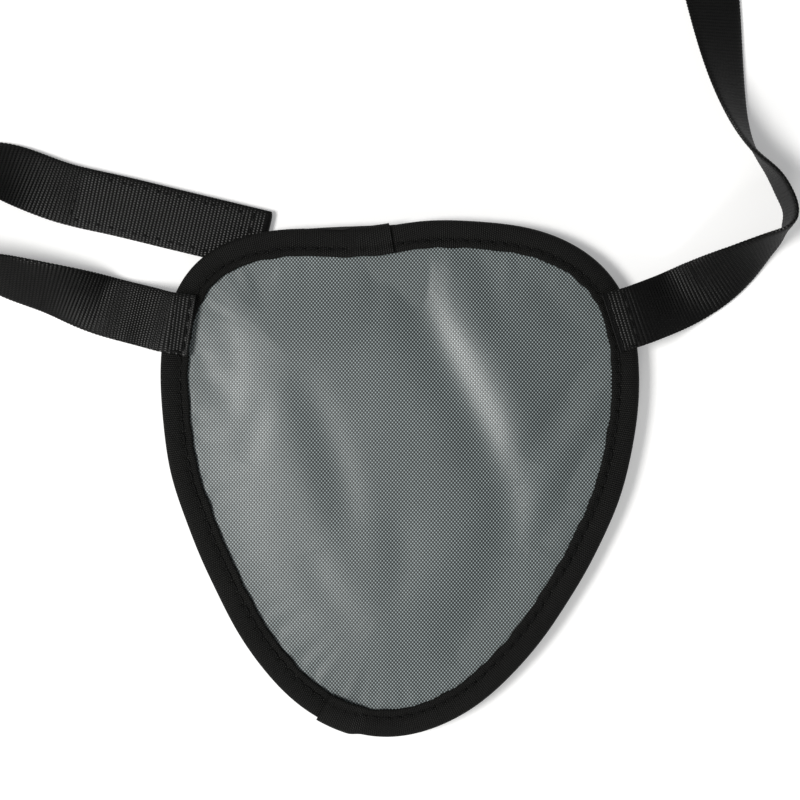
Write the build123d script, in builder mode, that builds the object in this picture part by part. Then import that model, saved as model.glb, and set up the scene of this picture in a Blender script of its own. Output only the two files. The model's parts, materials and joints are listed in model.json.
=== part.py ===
from build123d import *
import os
from math import atan2, cos, degrees, radians, sin

# Eye patch: a padded, light-blocking panel with a bound edge and two webbing straps.
# Millimetres. It lies on its skin side: X across the patch, Y up the face, Z outwards.
# The origin is on the skin side, in the middle of the panel.

os.makedirs("parts", exist_ok=True)

# ---- Driving dimensions -------------------------------------------------------------

panel_width = 80.4        # across the widest part, binding included
panel_height = 86.6       # brow edge to the tip, binding included

lining_thick = 0.4
foam_thick = 3.0
core_thick = 0.6
face_thick = 0.35
pad_inset = 8.5           # from the patch's edge to the side of the padded plateau

tape_thick = 0.45         # the edge binding
binding_lap = 4.7         # how far the binding reaches in from the edge

webbing_width = 10.2
webbing_thick = 0.9
tab_length = 4.3          # of each strap's end that is sewn on the binding
right_fold_angle = 17.5   # the right seam's lean from the Y axis, in degrees
left_seam_angle = -8.4    # the left seam's lean from the Y axis, in degrees

thread = 0.3              # width of a stitch
thread_rise = 0.15        # how far a stitch stands out of the cloth
stitch_length = 1.5
stitch_pitch = 2.1
binding_stitch_inset = 3.35
tab_stitch_inset = 1.2    # from the strap's cut end to its seam
hem_stitch_inset = 0.5    # from the hem's inner end to its seam
seam_margin = 0.3         # from a seam's ends to the webbing's edges

hem_length = 3.7
pad_thick = 0.8           # the loop and hook pads
pad_width = 9.4
loop_pad_length = 30.0
hook_pad_length = 24.0
pad_corner = 1.0          # rounding of the pads' corners
pad_margin = 0.5          # from the hook pad to the hank's rounded end
pad_stitch_inset = 0.8

hank_length = 40.0
hank_layers = 7
hank_gap = 0.08           # between two layers of the hank
hank_corner = 1.2         # rounding of the hank's ends, where the webbing folds back
band_place = 8.0          # from the hank's near end to the band's middle
band_width = 4.0
band_thick = 0.5

fold_gap = 0.4            # from a fold's axis to the webbing that turns about it
swing_gap = 0.7           # from a swing's axis to the ends of the webbing beside it
contact_gap = 0.02        # between stitches and the piece they lie on

# ---- The panel's outline ------------------------------------------------------------

# Points round the patch's edge, anticlockwise from the right, as shares of half its
# width and half its height.
outline_shares = [
    (1.002, 0.37), (0.966, 0.63), (0.868, 0.806), (0.685, 0.927), (0.405, 0.996),
    (0.000, 0.993), (-0.480, 0.969), (-0.810, 0.872), (-0.953, 0.69), (-1.000, 0.37),
    (-0.961, 0.03), (-0.832, -0.31), (-0.605, -0.70), (-0.312, -0.943), (-0.045, -1.002),
    (0.206, -0.943), (0.485, -0.745), (0.754, -0.40), (0.940, -0.015),
]
outline = [(x * panel_width / 2, y * panel_height / 2) for x, y in outline_shares]
patch_edge = Spline(*outline, periodic=True)

core_low = lining_thick + foam_thick
face_low = core_low + core_thick
face_top = face_low + face_thick
binding_low = core_low - lining_thick - tape_thick
binding_top = face_top + tape_thick


def drawn_in(inset):
    """The outline's points, each moved in by inset, square to the edge."""
    points = []
    for x, y in outline:
        way = patch_edge % patch_edge.param_at_point((x, y))
        points.append((x - inset * way.Y, y + inset * way.X))
    return points


def panel_layer(inset, low, high):
    """A flat layer with the patch's outline, drawn in by inset."""
    with BuildSketch(Plane.XY.offset(low)) as layer:
        with BuildLine():
            Spline(*drawn_in(inset), periodic=True)
        make_face()
    return extrude(layer.sketch, amount=high - low, mode=Mode.PRIVATE)


def finish(piece, name):
    """Label a piece and write it as a STEP file."""
    piece.part.label = name
    export_step(piece.part, f"parts/{name}.step")


# ---- The panel's layers -------------------------------------------------------------

with BuildPart() as lining_fabric:
    add(panel_layer(pad_inset, 0, core_low))
    add(panel_layer(tape_thick, core_low - lining_thick, core_low))
    add(panel_layer(pad_inset + lining_thick, lining_thick, core_low), mode=Mode.SUBTRACT)
finish(lining_fabric, "lining_fabric")

with BuildPart() as foam_pad:
    add(panel_layer(pad_inset + lining_thick, lining_thick, core_low))
finish(foam_pad, "foam_pad")

with BuildPart() as blackout_core:
    add(panel_layer(tape_thick, core_low, face_low))
finish(blackout_core, "blackout_core")

with BuildPart() as face_fabric:
    add(panel_layer(tape_thick, face_low, face_top))
finish(face_fabric, "face_fabric")

# ---- The binding --------------------------------------------------------------------

# Two lengths of tape meet at the brow and beside the tip. The left one is the part of
# the ring inside this wedge.
brow_join = (-0.045 * panel_width / 2, 0.99 * panel_height / 2)
tip_join = (-0.32 * panel_width / 2, -0.86 * panel_height / 2)
reach = 2.0               # the wedge's corners lie well outside the patch
wedge_margin = 1.0        # that the wedge stands over the binding, above and below


def binding_ring():
    """The whole folded tape: a ring with a C-shaped section, open to the inside."""
    with BuildPart() as ring:
        add(panel_layer(0, binding_low, binding_top))
        add(panel_layer(binding_lap, binding_low, binding_top), mode=Mode.SUBTRACT)
        add(panel_layer(tape_thick, core_low - lining_thick, face_top), mode=Mode.SUBTRACT)
    return ring.part


def left_wedge():
    """A prism over the left side of the patch, between the two joins."""
    with BuildSketch(Plane.XY.offset(binding_low - wedge_margin)) as wedge:
        with BuildLine():
            Polyline(
                (0, 0), (brow_join[0] * reach, brow_join[1] * reach),
                (-panel_width * reach, brow_join[1] * reach),
                (-panel_width * reach, tip_join[1] * reach),
                (tip_join[0] * reach, tip_join[1] * reach), close=True)
        make_face()
    return extrude(wedge.sketch, amount=binding_top - binding_low + 2 * wedge_margin, mode=Mode.PRIVATE)


with BuildPart() as binding_left:
    add(binding_ring())
    add(left_wedge(), mode=Mode.INTERSECT)
finish(binding_left, "binding_left")

with BuildPart() as binding_right:
    add(binding_ring())
    add(left_wedge(), mode=Mode.SUBTRACT)
finish(binding_right, "binding_right")


def stitch_spots(path, height):
    """Places evenly spaced along a closed path at one height, each turned along it."""
    count = round(path.length / stitch_pitch)
    spots = []
    for i in range(count):
        spot = path @ (i / count)
        way = path % (i / count)
        spots.append(Location((spot.X, spot.Y, height), (0, 0, degrees(atan2(way.Y, way.X)))))
    return spots


seam_path = Spline(*drawn_in(binding_stitch_inset), periodic=True)

with BuildPart() as binding_stitches:
    with Locations(*stitch_spots(seam_path, binding_top + contact_gap + thread_rise / 2)):
        Box(stitch_length, thread, thread_rise)
finish(binding_stitches, "binding_stitches")

with BuildPart() as binding_bobbin_stitches:
    with Locations(*stitch_spots(seam_path, binding_low - contact_gap - thread_rise / 2)):
        Box(stitch_length, thread, thread_rise)
finish(binding_bobbin_stitches, "binding_bobbin_stitches")

# ---- Webbing ------------------------------------------------------------------------


def webbing_planes(stations):
    """Section planes along a strap. Each station gives x, y, the low edge's height and
    the roll in degrees, positive where the edge on the left of the way along is up."""
    middles = []
    for x, y, lift, roll in stations:
        edge = webbing_width / 2 * abs(sin(radians(roll)))
        face = webbing_thick / 2 * abs(cos(radians(roll)))
        middles.append(Vector(x, y, lift + edge + face))
    planes = []
    for i, station in enumerate(stations):
        way = (middles[min(i + 1, len(middles) - 1)] - middles[max(i - 1, 0)]).normalized()
        left = Vector(-way.Y, way.X, 0).normalized()
        up = way.cross(left)
        turn = radians(station[3])
        planes.append(Plane(origin=middles[i], x_dir=left * cos(turn) + up * sin(turn), z_dir=way))
    return planes


def webbing_run(stations):
    """A stretch of strap, its flat section carried through the stations."""
    with BuildPart() as run:
        for plane in webbing_planes(stations):
            with BuildSketch(plane):
                Rectangle(webbing_width, webbing_thick)
        loft(ruled=True)
    return run.part


def seam_plane(x, y, lean, height):
    """A level plane at the middle of a seam, its Y along the seam."""
    return Plane(origin=(x, y, height), x_dir=(cos(radians(lean)), sin(radians(lean)), 0), z_dir=(0, 0, 1))


# ---- The left strap -----------------------------------------------------------------

tab_low = binding_top + thread_rise + 2 * contact_gap   # it lies on the binding's stitches
seam_drop = [0.86, 0.40, 0.04]        # shares of that height that are left as a strap comes down
left_seam = (-0.968 * panel_width / 2, 0.605 * panel_height / 2)   # where it bends off the edge
tail_low = pad_thick                  # the tail rests on the loop pad


def from_left_seam(x, y, lift=0.0, roll=0.0):
    """A station so far across and up from the left seam."""
    return (left_seam[0] + x, left_seam[1] + y, lift, roll)


left_out = [
    from_left_seam(0, 0, tab_low),
    from_left_seam(-2.3, 0.6, tab_low * seam_drop[0]),
    from_left_seam(-6.1, 1.6, tab_low * seam_drop[1]),
    from_left_seam(-10.6, 2.8, tab_low * seam_drop[2], -6),
    from_left_seam(-18.1, 5.2, 0, -33),
    from_left_seam(-27.3, 7.8, 0, -49),
    from_left_seam(-34.1, 10.1, 0, -70),
]

turn_radius = 7.8                     # of the turn on edge
turn_start = -105.0                   # degrees; the turn runs clockwise from here
turn_middle = from_left_seam(-37.6, 19.4)


def turn_point(angle, lift, roll):
    """A station on the turn's arc."""
    across = turn_radius * cos(radians(angle))
    up = turn_radius * sin(radians(angle))
    return (turn_middle[0] + across, turn_middle[1] + up, lift, roll)


apex_angle = turn_start - 90.0
gap_angle = degrees(swing_gap / turn_radius)
left_turn_in = [
    turn_point(turn_start, 0, -84),
    turn_point(turn_start - 30, 0, -88),
    turn_point(turn_start - 60, 0, -90),
    turn_point(apex_angle + gap_angle, 0, -90),
]
with BuildPart() as left_strap:
    with BuildSketch(seam_plane(*left_seam, left_seam_angle, tab_low)):
        with Locations((tab_length / 2, 0)):
            Rectangle(tab_length, webbing_width)
    extrude(amount=webbing_thick)
    add(webbing_run(left_out + left_turn_in))
finish(left_strap, "left_strap")

tail_angle = -13.5                    # degrees, the way the tail runs
tail_end = from_left_seam(16.5, 13.7)[:2]
tail_margin = 2.0                     # level webbing beyond the loop pad
tail_straight = loop_pad_length + hem_length + tail_margin
tail_way = (cos(radians(tail_angle)), sin(radians(tail_angle)))


def along_tail(back):
    """A point on the tail's middle line, so far back from its end."""
    return (tail_end[0] - back * tail_way[0], tail_end[1] - back * tail_way[1])


left_turn_out = [
    turn_point(apex_angle - gap_angle, 0, -90),
    turn_point(apex_angle - 30, 0, -89),
    turn_point(apex_angle - 60, 0, -82),
    turn_point(apex_angle - 88, 0, -66),
    from_left_seam(-30.1, 26.2, 0.2, -34),
    from_left_seam(-24.6, 24.4, 0.6, -10),
    (*along_tail(tail_straight), tail_low, 0),
    (*along_tail(hem_length), tail_low, 0),
    (*along_tail(0), tail_low, 0),
]
with BuildPart() as left_strap_tail:
    add(webbing_run(left_turn_out))
    with BuildSketch(seam_plane(*tail_end, tail_angle, 0)):
        with Locations((-hem_length / 2, 0)):
            Rectangle(hem_length, webbing_width)
    extrude(amount=tail_low + webbing_thick)
finish(left_strap_tail, "left_strap_tail")


def pad_plane(height):
    """A level plane at the tail's end, its X along the tail."""
    return seam_plane(*tail_end, tail_angle, height)


pad_gap = 0.3                         # between the hem and the loop pad
loop_pad_middle = -(hem_length + pad_gap + loop_pad_length / 2)
with BuildPart() as loop_pad:
    with BuildSketch(pad_plane(0)):
        with Locations((loop_pad_middle, 0)):
            RectangleRounded(loop_pad_length, pad_width, pad_corner)
    extrude(amount=pad_thick)
finish(loop_pad, "loop_pad")


def frame_stitches(length, width):
    """Stitches round a rectangle, as bars in the sketch plane, centred on it."""
    along = round(length / stitch_pitch)
    across = round(width / stitch_pitch)
    for side in (-1, 1):
        with Locations(*[((i + 0.5) * length / along - length / 2, side * width / 2) for i in range(along)]):
            Rectangle(stitch_length, thread)
        with Locations(*[(side * length / 2, (i + 0.5) * width / across - width / 2) for i in range(across)]):
            Rectangle(thread, stitch_length)


webbing_top = tail_low + webbing_thick
with BuildPart() as loop_pad_stitches:
    with BuildSketch(pad_plane(webbing_top + contact_gap)):
        with Locations((loop_pad_middle, 0)):
            with BuildSketch(mode=Mode.PRIVATE) as frame:
                frame_stitches(loop_pad_length - 2 * pad_stitch_inset, pad_width - 2 * pad_stitch_inset)
            add(frame.sketch)
    extrude(amount=thread_rise)
finish(loop_pad_stitches, "loop_pad_stitches")


def stitch_line(plane, place, length):
    """A straight row of stitches across a strap, standing on a plane."""
    count = round(length / stitch_pitch)
    with BuildPart() as row:
        with BuildSketch(plane):
            with Locations(*[(place, (i + 0.5) * length / count - length / 2) for i in range(count)]):
                Rectangle(thread, stitch_length)
        extrude(amount=thread_rise)
    return row.part


seam_length = webbing_width - 2 * seam_margin
with BuildPart() as left_hem_stitches:
    add(stitch_line(pad_plane(webbing_top + contact_gap), hem_stitch_inset - hem_length, seam_length))
finish(left_hem_stitches, "left_hem_stitches")

tab_top = tab_low + webbing_thick
with BuildPart() as left_seam_stitches:
    left_tab_top = seam_plane(*left_seam, left_seam_angle, tab_top + contact_gap)
    add(stitch_line(left_tab_top, tab_length - tab_stitch_inset, seam_length))
    add(stitch_line(left_tab_top, tab_length - 2 * tab_stitch_inset, seam_length))
finish(left_seam_stitches, "left_seam_stitches")

# ---- The right strap ----------------------------------------------------------------

right_seam = (0.975 * panel_width / 2, 0.628 * panel_height / 2)   # where it bends off the edge
with BuildPart() as right_strap_tab:
    with BuildSketch(seam_plane(*right_seam, right_fold_angle, tab_low)):
        with Locations((-tab_length / 2, 0)):
            Rectangle(tab_length, webbing_width)
    extrude(amount=webbing_thick)
finish(right_strap_tab, "right_strap_tab")

with BuildPart() as right_seam_stitches:
    right_tab_top = seam_plane(*right_seam, right_fold_angle, tab_top + contact_gap)
    add(stitch_line(right_tab_top, -(tab_length - tab_stitch_inset), seam_length))
    add(stitch_line(right_tab_top, -(tab_length - 2 * tab_stitch_inset), seam_length))
finish(right_seam_stitches, "right_seam_stitches")


def from_right_seam(x, y, lift=0.0, roll=0.0):
    """A station so far across and up from the right seam."""
    return (right_seam[0] + x, right_seam[1] + y, lift, roll)


fold_way = (cos(radians(right_fold_angle)), sin(radians(right_fold_angle)))
corner = from_right_seam(25.8, 16.4)  # where the strap stands on edge and turns
corner_way = radians(80)


def beside_corner(distance, roll):
    """A station close to the corner, on the way through it."""
    return (corner[0] + distance * cos(corner_way), corner[1] + distance * sin(corner_way), 0, roll)


right_out = [
    from_right_seam(fold_gap * fold_way[0], fold_gap * fold_way[1], tab_low),
    from_right_seam(2.2, 0.8, tab_low * seam_drop[0]),
    from_right_seam(6.0, 2.3, tab_low * seam_drop[1], 2),
    from_right_seam(10.4, 4.4, tab_low * seam_drop[2], 14),
    from_right_seam(17.4, 8.6, 0, 45),
    from_right_seam(22.6, 12.2, 0, 70),
    from_right_seam(25.1, 14.4, 0, 84),
    beside_corner(-swing_gap, 90),
]
with BuildPart() as right_strap:
    add(webbing_run(right_out))
finish(right_strap, "right_strap")

hank_start = from_right_seam(11.4, 68.8)[:2]
hank_way = radians(96)
hank_clear = 0.15                     # between the strap's end face and the hank
band_gap = 0.05                       # between the band and the hank it holds
hank_low = band_thick + band_gap      # the hank lies on its band


def before_hank(distance):
    """A station in line with the hank and level with its lowest layer, so far short of it."""
    return (hank_start[0] - distance * cos(hank_way), hank_start[1] - distance * sin(hank_way), hank_low, 0)


right_far = [
    beside_corner(swing_gap, 91),
    from_right_seam(24.9, 20.4, 0, 92),
    from_right_seam(22.9, 23.9, 0, 88),
    from_right_seam(20.3, 27.0, 0, 79),
    from_right_seam(17.9, 31.2, 0, 67),
    from_right_seam(15.8, 38.0, 0, 51),
    from_right_seam(13.6, 51.5, 0, 24),
    from_right_seam(12.4, 60.8, 0, 6),
    before_hank(3.0),
    before_hank(hank_clear),
]
with BuildPart() as right_strap_far:
    add(webbing_run(right_far))
finish(right_strap_far, "right_strap_far")

# The strap's stored length, folded to and fro in flat layers and held by a band.
hank_height = hank_layers * webbing_thick + (hank_layers - 1) * hank_gap
hank_top = hank_low + hank_height
hank_middle = (hank_low + hank_top) / 2
hank_ahead = Vector(cos(hank_way), sin(hank_way), 0)
hank_across = hank_ahead.cross(Vector(0, 0, 1))
hank_side = Plane(origin=(*hank_start, hank_middle), x_dir=hank_ahead, z_dir=hank_across)
end_radius = min(hank_corner, hank_height / 3)
with BuildPart() as strap_hank:
    with BuildSketch(hank_side):
        with Locations((hank_length / 2, 0)):
            RectangleRounded(hank_length, hank_height, end_radius)
    extrude(amount=webbing_width / 2, both=True)
finish(strap_hank, "strap_hank")

band_middle = hank_side.origin + hank_ahead * band_place
band_section = Plane(origin=band_middle, x_dir=hank_across, z_dir=hank_ahead)
with BuildPart() as hank_band:
    with BuildSketch(band_section):
        Rectangle(webbing_width + 2 * hank_low, hank_height + 2 * hank_low)
        Rectangle(webbing_width + 2 * band_gap, hank_height + 2 * band_gap, mode=Mode.SUBTRACT)
    extrude(amount=band_width / 2, both=True)
finish(hank_band, "hank_band")

hook_pad_middle = hank_length - end_radius - pad_margin - hook_pad_length / 2
hook_pad_top = Plane(origin=(*hank_start, hank_top), x_dir=hank_ahead, z_dir=(0, 0, 1))
with BuildPart() as hook_pad:
    with BuildSketch(hook_pad_top):
        with Locations((hook_pad_middle, 0)):
            RectangleRounded(hook_pad_length, pad_width, pad_corner)
    extrude(amount=pad_thick)
finish(hook_pad, "hook_pad")

with BuildPart() as hook_pad_stitches:
    with BuildSketch(hook_pad_top.offset(pad_thick + contact_gap)):
        with Locations((hook_pad_middle, 0)):
            with BuildSketch(mode=Mode.PRIVATE) as hook_frame:
                frame_stitches(hook_pad_length - 2 * pad_stitch_inset, pad_width - 2 * pad_stitch_inset)
            add(hook_frame.sketch)
    extrude(amount=thread_rise)
finish(hook_pad_stitches, "hook_pad_stitches")

print(f"panel: {face_top + tape_thick:.2f} thick, hank: {hank_height:.2f} high")
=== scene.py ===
# %% [markdown]
# # A padded eye patch with webbing straps
# This lesson dresses a finished CAD model of an eye patch: a padded panel of coated cloth,
# a folded tape round its edge, and two black webbing straps that lie on a table. The CAD
# holds every size and every joint. Blender adds the cloth, the ribs of the webbing, each
# stitch and the finishes. Sizes are worked out in millimetres and made in metres, in the CAD
# model's own frame, so each piece is made where the CAD says and isn't moved afterwards.

# %% Load the frame
import json
import bpy
import numpy as np
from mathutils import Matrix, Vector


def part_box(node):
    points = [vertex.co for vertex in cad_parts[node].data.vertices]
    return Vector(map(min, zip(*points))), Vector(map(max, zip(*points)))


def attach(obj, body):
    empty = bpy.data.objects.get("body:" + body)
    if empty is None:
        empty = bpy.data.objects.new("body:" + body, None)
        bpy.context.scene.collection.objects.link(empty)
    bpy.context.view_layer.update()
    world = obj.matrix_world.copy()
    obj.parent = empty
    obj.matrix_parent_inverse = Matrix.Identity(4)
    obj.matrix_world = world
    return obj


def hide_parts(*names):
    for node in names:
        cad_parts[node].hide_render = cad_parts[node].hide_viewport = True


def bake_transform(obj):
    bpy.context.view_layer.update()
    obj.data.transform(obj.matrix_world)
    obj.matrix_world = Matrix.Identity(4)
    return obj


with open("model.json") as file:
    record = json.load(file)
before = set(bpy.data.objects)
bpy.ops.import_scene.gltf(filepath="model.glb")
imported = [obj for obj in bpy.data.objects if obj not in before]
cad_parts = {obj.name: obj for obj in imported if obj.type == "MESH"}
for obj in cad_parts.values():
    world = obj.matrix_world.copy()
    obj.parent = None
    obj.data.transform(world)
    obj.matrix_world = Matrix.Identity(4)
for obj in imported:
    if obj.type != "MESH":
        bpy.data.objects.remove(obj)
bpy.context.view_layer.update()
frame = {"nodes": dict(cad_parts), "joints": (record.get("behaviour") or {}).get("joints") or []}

MM = 0.001


def add_object(name, data):
    """A new object in the scene."""
    thing = bpy.data.objects.new(name, data)
    bpy.context.scene.collection.objects.link(thing)
    return thing


# %% [markdown]
# ## The camera
# The patch is seen from straight above, as on a copy stand. A long lens keeps the straps
# that stand on edge from leaning far outwards. The camera's distance follows from the width
# that it should take in.

# %% Camera
VIEW_WIDTH = 133.4        # mm across the frame, at the height of the panel's top
VIEW_CENTRE = (0.0, 13.2)  # mm, where the middle of the frame falls
LENS = 85.0               # mm
SENSOR = 36.0             # mm wide
PANEL_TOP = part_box("binding_left")[1][2]

camera_data = bpy.data.cameras.new("copy_stand_camera")
camera_data.lens = LENS
camera_data.sensor_width = SENSOR
camera = add_object("copy_stand_camera", camera_data)
camera.location = (VIEW_CENTRE[0] * MM, VIEW_CENTRE[1] * MM, VIEW_WIDTH * MM * LENS / SENSOR + PANEL_TOP)
bpy.context.scene.camera = camera
print("camera height, mm:", round(camera.location.z / MM, 1))

# %% [markdown]
# ## Table and light
# Black cloth on white is lit softly from all round, or its folds turn into holes. A bright
# sky gives the even part. One lamp stands high on the left: a slope of 17 degrees towards it
# mirrors it up to the camera, so the face's creases have a bright and a dark side. A weaker
# lamp stands in front and catches the ribs of a strap that rolls up on its edge. The table
# glows a little, which keeps its shadows pale, and gloss sees it darker than it is, as with
# black cards round the subject, so black stays black.

# %% Table and light
FLOOR_HALF = 1.5          # m
FLOOR_DROP = 0.02         # mm that the table lies below the patch
FLOOR_GREY = 0.86
FLOOR_IN_GLOSS = 0.1      # what a shiny black piece mirrors of the table
FLOOR_GLOW = 0.25
SKY = 0.26

floor_data = bpy.data.meshes.new("table_top")
corners = [(a * FLOOR_HALF, b * FLOOR_HALF, 0) for a, b in ((-1, -1), (1, -1), (1, 1), (-1, 1))]
floor_data.from_pydata(corners, [], [(0, 1, 2, 3)])
floor = add_object("table_top", floor_data)
floor.location.z = -FLOOR_DROP * MM
paper = bpy.data.materials.new("white_table")
paper.use_nodes = True
paper_shader = paper.node_tree.nodes["Principled BSDF"]
paper_shader.inputs["Roughness"].default_value = 0.9
paper_shader.inputs["Emission Color"].default_value = (1, 1, 1, 1)
paper_shader.inputs["Emission Strength"].default_value = FLOOR_GLOW
in_gloss = paper.node_tree.nodes.new("ShaderNodeLightPath").outputs["Is Glossy Ray"]
paper_colour = paper.node_tree.nodes.new("ShaderNodeMapRange")
paper_colour.inputs["To Min"].default_value = FLOOR_GREY
paper_colour.inputs["To Max"].default_value = FLOOR_IN_GLOSS
paper.node_tree.links.new(in_gloss, paper_colour.inputs["Value"])
paper.node_tree.links.new(paper_colour.outputs["Result"], paper_shader.inputs["Base Color"])
floor_data.materials.append(paper)

world = bpy.data.worlds.new("soft_sky")
world.use_nodes = True
world.node_tree.nodes["Background"].inputs["Color"].default_value = (0.97, 0.985, 1.0, 1)
world.node_tree.nodes["Background"].inputs["Strength"].default_value = SKY
bpy.context.scene.world = world
bpy.context.scene.view_settings.view_transform = "Standard"


def soft_lamp(name, place, size, watts, colour):
    """A square area lamp that looks at the patch's middle."""
    data = bpy.data.lights.new(name, "AREA")
    data.size = size
    data.energy = watts
    data.color = colour
    lamp = add_object(name, data)
    lamp.location = place
    lamp.rotation_euler = (-lamp.location).to_track_quat("-Z", "Y").to_euler()


soft_lamp("window", (-0.66, -0.09, 0.96), 0.34, 12.0, (1.0, 0.99, 0.97))
soft_lamp("front", (-0.12, -0.95, 0.74), 0.3, 3.0, (1.0, 0.99, 0.96))

# %% [markdown]
# ## Making surfaces from arrays
# Every new piece here is a grid of points. A layer of cloth has two such grids, its upper
# and its lower face, joined round the rim, so one builder serves the panel's cloth, the
# tape and the webbing. Points go in as whole arrays. The faces' numbers come from the grid's
# own numbering, so there is no loop over vertices.

# %% Grid helpers
def normalised(vectors):
    """Each vector divided by its own length."""
    return vectors / np.linalg.norm(vectors, axis=-1, keepdims=True)


def smooth(t):
    """0 below 0, 1 above 1, and 3t^2 - 2t^3 between."""
    t = np.clip(t, 0, 1)
    return t * t * (3 - 2 * t)


def lengths_along(points):
    """How far along a line each of its points lies, as straight steps added up."""
    return np.append(0, np.cumsum(np.linalg.norm(np.diff(points, axis=0), axis=1)))


def curve_through(knots, values, at):
    """A natural cubic spline: between two knots it is the cubic that agrees with its
    neighbours in slope and bend, and its two ends don't bend. knots rise, values has one row
    a knot, and at says where to read it."""
    knots, values, at = np.asarray(knots, float), np.asarray(values, float), np.asarray(at, float)
    gap = np.diff(knots)
    count = len(knots)
    system = np.zeros((count, count))
    slopes = np.diff(values, axis=0) / gap[:, None]
    wanted = np.zeros_like(values)
    inner = np.arange(1, count - 1)
    system[0, 0] = system[-1, -1] = 1
    system[inner, inner - 1] = gap[:-1]
    system[inner, inner] = 2 * (gap[:-1] + gap[1:])
    system[inner, inner + 1] = gap[1:]
    wanted[1:-1] = 6 * np.diff(slopes, axis=0)
    bend = np.linalg.solve(system, wanted)
    i = np.clip(np.searchsorted(knots, at) - 1, 0, count - 2)
    a = ((knots[i + 1] - at) / gap[i])[:, None]
    b = 1 - a
    curved = (a ** 3 - a) * bend[i] + (b ** 3 - b) * bend[i + 1]
    return a * values[i] + b * values[i + 1] + (gap[i] ** 2 / 6)[:, None] * curved


def new_piece(name, points, faces, uv, material):
    """A mesh object from points in mm and lists of point numbers. uv has one pair a corner."""
    mesh = bpy.data.meshes.new(name)
    mesh.from_pydata((points.reshape(-1, 3) * MM).tolist(), [], faces)
    layer = mesh.uv_layers.new(name="cloth_mm")
    layer.data.foreach_set("uv", uv.astype(np.float32).ravel())
    mesh.shade_smooth()
    mesh.materials.append(material)
    return add_object(name, mesh)


def grid_faces(numbers):
    """The four point numbers of each cell of a grid of point numbers."""
    corners = [numbers[:-1, :-1], numbers[1:, :-1], numbers[1:, 1:], numbers[:-1, 1:]]
    return np.stack(corners, -1).reshape(-1, 4)


def layer_piece(name, upper, lower, along, across, material, closed=False):
    """A layer of cloth: the grids upper and lower, (n, m, 3) in mm, are its two faces, and
    their rims are joined. Along the first index lies the length, along the second the width,
    and upper's outside is length crossed with width. The UV map holds along and across, in
    mm. A closed layer runs round and joins its own start."""
    n, m = upper.shape[:2]
    top = np.arange(n * m).reshape(n, m)
    low = top + n * m
    if closed:
        top = np.vstack([top, top[:1]])
        low = np.vstack([low, low[:1]])
    sides = [
        (top, False), (low, True),
        (np.stack([low[:, 0], top[:, 0]], 1), False), (np.stack([top[:, -1], low[:, -1]], 1), False),
    ]
    if not closed:
        sides += [(np.stack([top[0], low[0]], 1), False), (np.stack([low[-1], top[-1]], 1), False)]
    step = (along[-1] - along[0]) / max(len(along) - 1, 1)
    where = np.append(along, along[-1] + step)
    u = np.broadcast_to(where[:n, None], (n, m)).ravel()
    v = np.broadcast_to(across, (n, m)).ravel()
    faces, corners = [], []
    for numbers, turned in sides:
        cells = grid_faces(numbers)
        if turned:
            cells = cells[:, ::-1]
        uv = np.stack([u[cells % (n * m)], v[cells % (n * m)]], -1)
        if closed:
            last = uv[..., 0].max(1) - uv[..., 0].min(1) > (where[n] - where[0]) / 2
            early = uv[..., 0] < (where[n] + where[0]) / 2
            uv[..., 0] = np.where(last[:, None] & early, uv[..., 0] + where[n] - where[0], uv[..., 0])
        faces.append(cells)
        corners.append(uv.reshape(-1, 2))
    points = np.concatenate([upper.reshape(-1, 3), lower.reshape(-1, 3)])
    return new_piece(name, points, np.concatenate(faces).tolist(), np.concatenate(corners), material)


def hand_over(piece, body, slot, *nodes):
    """Says which CAD nodes the piece replaces and the body that it rides. Its slot argument is not used."""
    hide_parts(*nodes)
    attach(piece, body)
    print(piece.name, "faces:", len(piece.data.polygons))


def waves(at, lengths, seed):
    """An even, repeatable unevenness from -1 to 1: a sum of sines with the given wave
    lengths, their phases drawn from the seed."""
    phases = np.random.default_rng(seed).uniform(0, 2 * np.pi, len(lengths))
    total = sum(np.sin(2 * np.pi * at / length + phase) for length, phase in zip(lengths, phases))
    return total / len(lengths)


# %% [markdown]
# ## Shader node groups
# Three effects turn up in more than one material. A plain weave is two sets of yarns that
# take turns on top, which is the product of two sines. Ribbed webbing and tape are a cosine
# along the length, crossed by finer yarns. Cloth is never one even colour, so a third group
# spreads a colour a little with noise. The groups put out masks, heights and colours, and the
# shader stays in the material.

# %% Node helpers
def feed(tree, socket, value):
    """Links an input socket to another socket, or sets it to a plain value."""
    if isinstance(value, bpy.types.NodeSocket):
        tree.links.new(value, socket)
    elif value is not None:
        socket.default_value = value


def math_node(tree, operation, *values):
    """A Math node's output. Each value is a socket, a number, or a tuple of another operation
    and its values, which becomes a Math node too."""
    node = tree.nodes.new("ShaderNodeMath")
    node.operation = operation
    for socket, value in zip(node.inputs, values):
        feed(tree, socket, math_node(tree, *value) if isinstance(value, tuple) else value)
    return node.outputs[0]


def new_group(name, inputs, outputs):
    """An empty shader group. inputs are (name, kind, default), outputs are (name, kind)."""
    tree = bpy.data.node_groups.new(name, "ShaderNodeTree")
    for title, kind, default in inputs:
        socket = tree.interface.new_socket(title, in_out="INPUT", socket_type=kind)
        if default is not None:
            socket.default_value = default
    for title, kind in outputs:
        tree.interface.new_socket(title, in_out="OUTPUT", socket_type=kind)
    return tree, tree.nodes.new("NodeGroupInput").outputs, tree.nodes.new("NodeGroupOutput").inputs


def use_group(tree, group, **values):
    """Places a group in a material. Each keyword names an input, with _ for a space."""
    node = tree.nodes.new("ShaderNodeGroup")
    node.node_tree = group
    for title, value in values.items():
        feed(tree, node.inputs[title.replace("_", " ")], value)
    return node.outputs


def x_and_y(tree, vector):
    """A vector socket's X and Y."""
    split = tree.nodes.new("ShaderNodeSeparateXYZ")
    tree.links.new(vector, split.inputs[0])
    return split.outputs["X"], split.outputs["Y"]


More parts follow.
